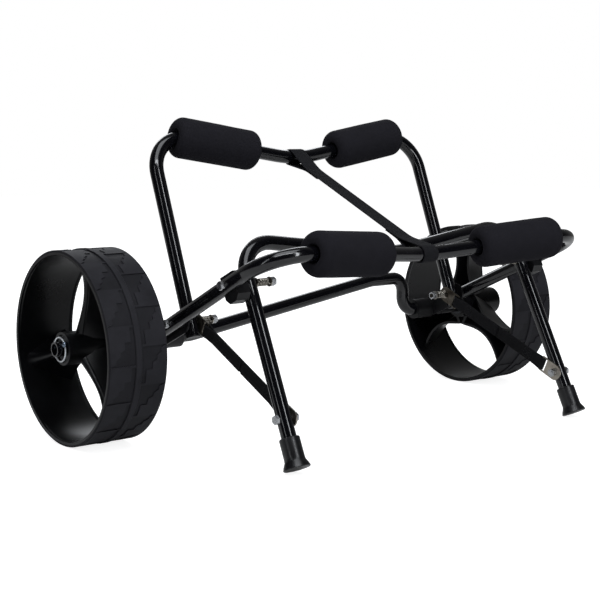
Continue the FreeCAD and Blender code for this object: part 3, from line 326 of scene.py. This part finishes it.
# Every CAD node gets its finish; the names leave out left and right
nodeFinishes = (
    ("tubePaint", ("axle_tube", "front_frame_tube", "back_frame_tube", "kickstand_tube")),
    ("blackPlastic", ("axle_bracket", "axle_sleeve", "pivot_spacer", "kick_bracket", "back_plug",
                      "hub_bush")),
    ("rimPlastic", ("wheel_rim",)),
    ("treadRubber", ("tyre",)),
    ("footRubber", ("kick_foot",)),
    ("ringSteel", ("lynch_ring",)),
    ("zincPlate", ("main_pivot_nut", "kick_pivot_nut", "stay_bolt", "stay_nut")),
    ("boltSteel", ("main_pivot_bolt", "kick_pivot_bolt")),
    ("darkWasher", ("axle_washers",)),
    ("springWire", ("main_pivot_spring", "kick_pivot_spring", "main_pivot_washers", "kick_pivot_washers")),
    ("stainlessTab", ("stay_lower_tab",)),
    ("shadedStainlessTab", ("stay_upper_tab",)),
    ("pinSteel", ("lynch_pin",)),
)


def paint(thing, material):
    if not thing.data.materials:
        thing.data.materials.append(material)
    for place in range(len(thing.data.materials)):
        thing.data.materials[place] = material


for label, stems in nodeFinishes:
    for nodeName, thing in nodes.items():
        if any(nodeName in (stem, stem + "_left", stem + "_right") for stem in stems):
            paint(thing, materials[label])
print("frame, wheels and fittings painted")


def newPiece(name, points, faces, material):
    mesh = bpy.data.meshes.new(name)
    mesh.from_pydata([tuple(point) for point in points], [], faces)
    mesh.materials.append(material)
    mesh.shade_smooth()
    mesh.update()
    piece = bpy.data.objects.new(name, mesh)
    bpy.context.scene.collection.objects.link(piece)
    return piece


# The two padded bars: each falls from its corners to a dip in the middle
bars = {
    "front": {"body": "frame", "foot": axleCentre, "slope": 24.5, "lean": -1,
              "dip": 278 * mm, "corner": 325 * mm, "cornerX": 277.5 * mm},
    "back": {"body": "back_frame", "foot": mainPivot, "slope": 69.0, "lean": 1,
             "dip": 223 * mm, "corner": 265 * mm, "cornerX": 240 * mm},
}


def middleOf(nodeName):
    low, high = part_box(nodeName)
    return (Vector(low) + Vector(high)) / 2


# A point of a hoop's plane: aside by x, and reach along the slope from the hoop's foot
def barPoint(bar, x, reach):
    slope = math.radians(bar["slope"])
    return bar["foot"] + Vector((x, bar["lean"] * reach * math.cos(slope), reach * math.sin(slope)))


# Foam pads: closed tubes of foam with rounded ends and a bore that opens at its mouths
pad = {"radius": 28.4 * mm, "length": 131 * mm, "round": 12 * mm, "bore": 10 * mm, "mouth": 13.4 * mm,
       "mouthDepth": 9 * mm, "turns": 112, "skinRings": 46, "boreRings": 4, "mouthRings": 7,
       "roundRings": 12, "lump": 0.35 * mm, "lumpScale": 14, "grain": 0.1 * mm, "grainScale": 120}


# Radius and place along the roll, from one bore mouth over the skin to the other
def padProfile():
    half = []
    for step in range(pad["boreRings"]):
        depth = pad["length"] / 4 * (1 - step / pad["boreRings"])
        half.append((pad["bore"], depth + pad["mouthDepth"]))
    for step in range(pad["mouthRings"]):
        turn = math.pi / 2 * step / (pad["mouthRings"] - 1)
        half.append((pad["mouth"] - (pad["mouth"] - pad["bore"]) * math.cos(turn),
                     pad["mouthDepth"] * (1 - math.sin(turn))))
    corner = pad["radius"] - pad["round"]
    for step in range(1, pad["roundRings"] + 1):
        turn = math.pi / 2 * step / pad["roundRings"]
        half.append((corner + pad["round"] * math.sin(turn), pad["round"] * (1 - math.cos(turn))))
    run = pad["length"] - 2 * pad["round"]
    skin = [(pad["radius"], pad["round"] + run * step / pad["skinRings"])
            for step in range(1, pad["skinRings"])]
    return half + skin + [(radius, pad["length"] - place) for radius, place in reversed(half)]


# How far the skin stands out at a spot: slow lumps and a finer grain
def padLump(spot, seed):
    wave = noise.noise(spot * pad["lumpScale"] + Vector((seed, 0, 0))) * pad["lump"]
    wave += noise.noise(spot * pad["grainScale"] + Vector((0, seed, 0))) * pad["grain"]
    return wave - pad["lump"] / 2


def foamRoll(barName, side, sign, seed):
    bar = bars[barName]
    start = barPoint(bar, 0, bar["dip"])
    end = barPoint(bar, sign * bar["cornerX"], bar["corner"])
    along = (end - start).normalized()
    base = middleOf("%s_pad_%s" % (barName, side)) - along * (pad["length"] / 2)
    first = along.orthogonal().normalized()
    second = along.cross(first)
    profile = padProfile()
    turns = pad["turns"]
    points, faces = [], []
    for radius, place in profile:
        for number in range(turns):
            turn = 2 * math.pi * number / turns
            out = first * math.cos(turn) + second * math.sin(turn)
            spot = base + along * place + out * radius
            if radius > pad["mouth"]:
                spot += out * padLump(spot, seed)
            points.append(spot)
    for row in range(len(profile)):
        below = (row + 1) % len(profile)
        for number in range(turns):
            following = (number + 1) % turns
            faces.append((row * turns + number, row * turns + following,
                          below * turns + following, below * turns + number))
    return newPiece("%s_foam_%s" % (barName, side), points, faces, materials["padFoam"])


for number, barName in enumerate(bars):
    for side, sign in sides:
        roll = foamRoll(barName, side, sign, 3.7 * number + sign)  # each pad has its own lumps
        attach(roll, bars[barName]["body"])
        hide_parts("%s_pad_%s" % (barName, side))
print("foam pads on the bars")


# How finely a band is drawn
webbing = {"step": 3 * mm, "loopSteps": 28, "easings": 6, "columns": 10}


# Centre line of a strap that loops round a bar at each end and is sewn back on itself
def loopPath(length, radius, throat, layer, tail):
    half = layer / 2

    def run(start, end):
        count = max(1, round((Vector(end) - Vector(start)).length / webbing["step"]))
        return [tuple(Vector(start).lerp(Vector(end), number / count)) for number in range(count)]

    reach = math.atan2(half, throat) + math.acos(radius / math.hypot(throat, half))
    turn = (2 * math.pi - 2 * reach) / webbing["loopSteps"]
    around = [2 * math.pi - reach - turn * number for number in range(webbing["loopSteps"] + 1)]
    loop = [(radius * math.cos(angle), radius * math.sin(angle)) for angle in around]
    path = run((throat + tail, -half), (throat, -half)) + run((throat, -half), loop[0]) + loop
    path = path[:-1] + run(loop[-1], (throat, half)) + run((throat, half), (length / 2, half))
    ahead = [(length - along, up) for along, up in reversed(path)]
    return path + [(length / 2, half)] + ahead


# The same line with its kinks eased, and the points near its loops held
def eased(path, held):
    for _ in range(webbing["easings"]):
        path = [path[0]] + [
            here if held(here) else tuple((Vector(before) + 2 * Vector(here) + Vector(after)) / 4)
            for before, here, after in zip(path, path[1:], path[2:])] + [path[-1]]
    return path


# A woven band swept along a path, half as thick at its edges, with a UV map in widths
def ribbon(name, path, origin, along, up, across, width, layer, material):
    columns = webbing["columns"]
    profile = [(number / columns, 0.5 if number in (0, columns) else 1.0) for number in range(columns + 1)]
    points, coordinates = [], []
    travelled = 0.0
    for number, (reach, lift) in enumerate(path):
        before = Vector(path[max(0, number - 1)])
        after = Vector(path[min(len(path) - 1, number + 1)])
        if number:
            travelled += (Vector(path[number]) - Vector(path[number - 1])).length
        tangent = (after - before).normalized()
        normal = along * -tangent.y + up * tangent.x
        centre = origin + along * reach + up * lift
        for face in (1, -1):
            for share, full in (profile if face > 0 else reversed(profile)):
                points.append(centre + across * ((share - 0.5) * width) + normal * (face * full * layer / 2))
                coordinates.append((share, travelled / width))
    ring = 2 * (columns + 1)
    faces = []
    for number in range(len(path) - 1):
        for place in range(ring):
            following = (place + 1) % ring
            faces.append((number * ring + place, number * ring + following,
                          (number + 1) * ring + following, (number + 1) * ring + place))
    last = (len(path) - 1) * ring
    for place in range(columns):
        faces.append((place, ring - 1 - place, ring - 2 - place, place + 1))
        faces.append((last + place, last + place + 1, last + ring - 2 - place, last + ring - 1 - place))
    band = newPiece(name, points, faces, material)
    unwrapped = band.data.uv_layers.new(name="UVMap")
    for loop in band.data.loops:
        unwrapped.data[loop.index].uv = coordinates[loop.vertex_index]
    return band


stitch = {"length": 2.6 * mm, "width": 0.7 * mm, "height": 0.5 * mm, "pitch": 3.4 * mm,
          "sidesRound": 6, "rings": 5, "rise": 0.3, "tip": 0.05}


# Rows of raised thread, one small bead for each stitch
def sewing(name, spots, up):
    points, faces = [], []
    sidesRound, rings = stitch["sidesRound"], stitch["rings"]
    for spot, direction, face in spots:
        sideways = direction.cross(up).normalized()
        first = len(points)
        for ringNumber in range(rings):
            turn = math.pi * ringNumber / (rings - 1)
            reach = -math.cos(turn) * stitch["length"] / 2
            swell = max(stitch["tip"], math.sin(turn))
            for number in range(sidesRound):
                angle = 2 * math.pi * number / sidesRound
                aside = math.cos(angle) * swell * stitch["width"] / 2
                above = (math.sin(angle) + stitch["rise"]) * swell * stitch["height"] / 2
                points.append(spot + direction * reach + sideways * aside + up * (face * above))
        for ringNumber in range(rings - 1):
            here = first + ringNumber * sidesRound
            there = here + sidesRound
            for number in range(sidesRound):
                following = (number + 1) % sidesRound
                faces.append((here + number, here + following, there + following, there + number))
    return newPiece(name, points, faces, materials["sewingThread"])


# Stitch places round a sewn box and across its two diagonals, on both faces
def sewnBox(origin, along, across, up, start, span, width, top):
    spots = []
    corners = [(start, -width / 2), (start + span, -width / 2), (start + span, width / 2), (start, width / 2)]
    lines = list(zip(corners, corners[1:] + corners[:1]))
    lines += [(corners[0], corners[2]), (corners[1], corners[3])]
    for first, second in lines:
        gap = Vector(second) - Vector(first)
        count = max(1, int(gap.length / stitch["pitch"]))
        direction = (along * gap.x + across * gap.y).normalized()
        for number in range(count):
            reach, over = Vector(first).lerp(Vector(second), (number + 0.5) / count)
            for face in (1, -1):
                place = origin + along * reach + across * over + up * (face * top)
                spots.append((place, direction, face))
    return spots


# The strap over the top lies round the middle of both bars
strap = {"width": 25 * mm, "layer": 1.7 * mm, "throat": 45 * mm, "tail": 26 * mm, "play": 0.5 * mm,
         "seamInset": 3 * mm, "barRadius": 9.5 * mm, "barBend": 200 * mm, "heldRadii": 1.4}


# A bar's lowest point, where its bend lifts it a little above the dip
def barMiddle(barName):
    bar = bars[barName]
    slope = math.atan((bar["corner"] - bar["dip"]) / bar["cornerX"])
    return barPoint(bar, 0, bar["dip"] + strap["barBend"] * (1 / math.cos(slope) - 1))


def makeTopStrap():
    start, end = barMiddle("back"), barMiddle("front")
    along = (end - start).normalized()
    up = xAxis.cross(along).normalized()
    if up.z < 0:
        up = -up
    length = (end - start).length
    radius = strap["barRadius"] + strap["play"] + strap["layer"] / 2
    near = radius * strap["heldRadii"]
    path = eased(loopPath(length, radius, strap["throat"], strap["layer"], strap["tail"]),
                 lambda spot: spot[0] < near or spot[0] > length - near)
    band = ribbon("top_webbing", path, start, along, up, xAxis, strap["width"], strap["layer"],
                  materials["strapWeb"])
    inset = strap["seamInset"]
    spots = []
    for first in (strap["throat"] + inset, length - strap["throat"] - strap["tail"] + inset):
        spots += sewnBox(start, along, xAxis, up, first, strap["tail"] - 2 * inset,
                         strap["width"] - 2 * inset, strap["layer"])
    seams = sewing("top_webbing_seams", spots, up)
    for piece in (band, seams):
        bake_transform(piece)
    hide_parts("top_strap")


makeTopStrap()

# The stays run from the main pivots to the kickstand's legs, round the bar of a steel tab at each end
stay = {"width": 17 * mm, "layer": 1.5 * mm, "throat": 20 * mm, "play": 0.35 * mm, "tabReach": 25 * mm,
        "barHalf": 2.24 * mm, "tailGap": 2 * mm, "seamInset": 2 * mm, "seamLength": 14 * mm,
        "seamMargin": 5 * mm}


def makeStay(side):
    lower = middleOf("stay_bolt_" + side)
    lower.x = 0
    flat = (lower - mainPivot).normalized()
    start = mainPivot + flat * stay["tabReach"] + xAxis * middleOf("stay_upper_tab_" + side).x
    end = lower - flat * stay["tabReach"] + xAxis * middleOf("stay_lower_tab_" + side).x
    along = (end - start).normalized()
    across = along.cross(xAxis).normalized()
    up = across.cross(along).normalized()
    length = (end - start).length
    radius = stay["barHalf"] + stay["play"] + stay["layer"] / 2
    tail = length / 2 - stay["throat"] - stay["tailGap"]
    path = loopPath(length, radius, stay["throat"], stay["layer"], tail)
    band = ribbon("stay_webbing_" + side, path, start, along, up, across, stay["width"], stay["layer"],
                  materials["stayWeb"])
    nearSeam = stay["throat"] + stay["seamInset"]
    spots = []
    for first in (nearSeam, length - nearSeam - stay["seamLength"]):
        spots += sewnBox(start, along, across, up, first, stay["seamLength"],
                         stay["width"] - stay["seamMargin"], stay["layer"])
    seams = sewing("stay_seams_" + side, spots, up)
    for piece in (band, seams):
        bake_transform(piece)
    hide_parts("stay_strap_" + side)


for side, sign in sides:
    makeStay(side)
print("webbing sewn")


# Studio: a pale floor, a white surround behind it and soft lamps
studio = {"floorSize": 14.0, "floorColour": 0.6, "floorRoughness": 0.9, "floorShine": 0.1,
          "cameraGlow": 0.85, "mirrorGlow": 0.07, "ambient": 0.36, "mirrorAhead": 0.015, "mirrorBehind": 0.16,
          "aheadShare": 0.45, "behindShare": 0.85, "middle": (0, -0.1, 0.18), "lampColour": (0.93, 0.96, 1.0)}
lamps = (  # turn is counted from the way the camera faces
    {"name": "stripLeft", "turn": -36, "pitch": 24, "distance": 2.6, "size": (0.3, 1.9), "watts": 22},
    {"name": "stripRight", "turn": 38, "pitch": 20, "distance": 2.8, "size": (0.16, 1.8), "watts": 5},
    {"name": "overhead", "turn": 8, "pitch": 72, "distance": 2.4, "size": (1.7, 1.7), "watts": 26},
    {"name": "topStrip", "turn": -4, "pitch": 52, "distance": 2.6, "size": (2.0, 0.22), "watts": 14},
    {"name": "behind", "turn": 168, "pitch": 30, "distance": 3.0, "size": (2.2, 1.2), "watts": 20},
)


# Two masks: what the camera sees straight on, and what gloss or glass shows
def seenMask(tree):
    path = tree.nodes.new("ShaderNodeLightPath").outputs
    mirrored = calc(tree, "MAXIMUM", path["Is Glossy Ray"], path["Is Transmission Ray"])
    return path["Is Camera Ray"], mirrored


def makeFloor():
    half = studio["floorSize"] / 2
    made = bpy.data.materials.new("paleFloor")
    made.use_nodes = True
    tree = made.node_tree
    shader = tree.nodes["Principled BSDF"]
    level = studio["floorColour"]
    shader.inputs["Base Color"].default_value = (level, level, level, 1)
    shader.inputs["Roughness"].default_value = studio["floorRoughness"]
    shader.inputs["Specular IOR Level"].default_value = studio["floorShine"]
    seen, mirrored = seenMask(tree)
    glow = calc(tree, "ADD", calc(tree, "MULTIPLY", seen, studio["cameraGlow"]),
                calc(tree, "MULTIPLY", mirrored, studio["mirrorGlow"]))
    shader.inputs["Emission Color"].default_value = (1, 1, 1, 1)
    tree.links.new(glow, shader.inputs["Emission Strength"])
    corners = [(-half, -half, 0), (half, -half, 0), (half, half, 0), (-half, half, 0)]
    floor = newPiece("floor", corners, [(0, 1, 2, 3)], made)


def makeSurround():
    world = bpy.data.worlds.new("surround")
    bpy.context.scene.world = world
    world.use_nodes = True
    tree = world.node_tree
    background = tree.nodes["Background"]
    spot = tree.nodes.new("ShaderNodeTexCoord").outputs["Generated"]
    backdrop = tuple(heading(cameraSet["yaw"], 0))
    facing = vectorCalc(tree, "DOT_PRODUCT", spot, backdrop, output="Value")
    share = calc(tree, "ADD", calc(tree, "MULTIPLY", facing, 0.5), 0.5)  # 0 in front, 1 at the backdrop
    room = ramp(tree, share, ((studio["aheadShare"], studio["mirrorAhead"]),
                              (studio["behindShare"], studio["mirrorBehind"])))
    seen, mirrored = seenMask(tree)
    level = calc(tree, "ADD", calc(tree, "MULTIPLY", mirrored, room),
                 calc(tree, "MULTIPLY", calc(tree, "SUBTRACT", 1.0, mirrored), studio["ambient"]))
    level = calc(tree, "MAXIMUM", level, seen)
    tree.links.new(level, background.inputs["Strength"])
    background.inputs["Color"].default_value = (1, 1, 1, 1)


def addLamp(settings):
    lamp = bpy.data.lights.new(settings["name"], "AREA")
    lamp.shape = "RECTANGLE"
    lamp.size, lamp.size_y = settings["size"]
    lamp.energy = settings["watts"]
    lamp.color = studio["lampColour"]
    holder = bpy.data.objects.new(settings["name"], lamp)
    bpy.context.scene.collection.objects.link(holder)
    shines = heading(cameraSet["yaw"] + settings["turn"], -settings["pitch"])
    holder.location = Vector(studio["middle"]) - shines * settings["distance"]
    holder.rotation_euler = shines.to_track_quat("-Z", "Y").to_euler()


makeFloor()
makeSurround()
for settings in lamps:
    addLamp(settings)
bpy.context.scene.view_settings.view_transform = "Standard"
print("studio lit")
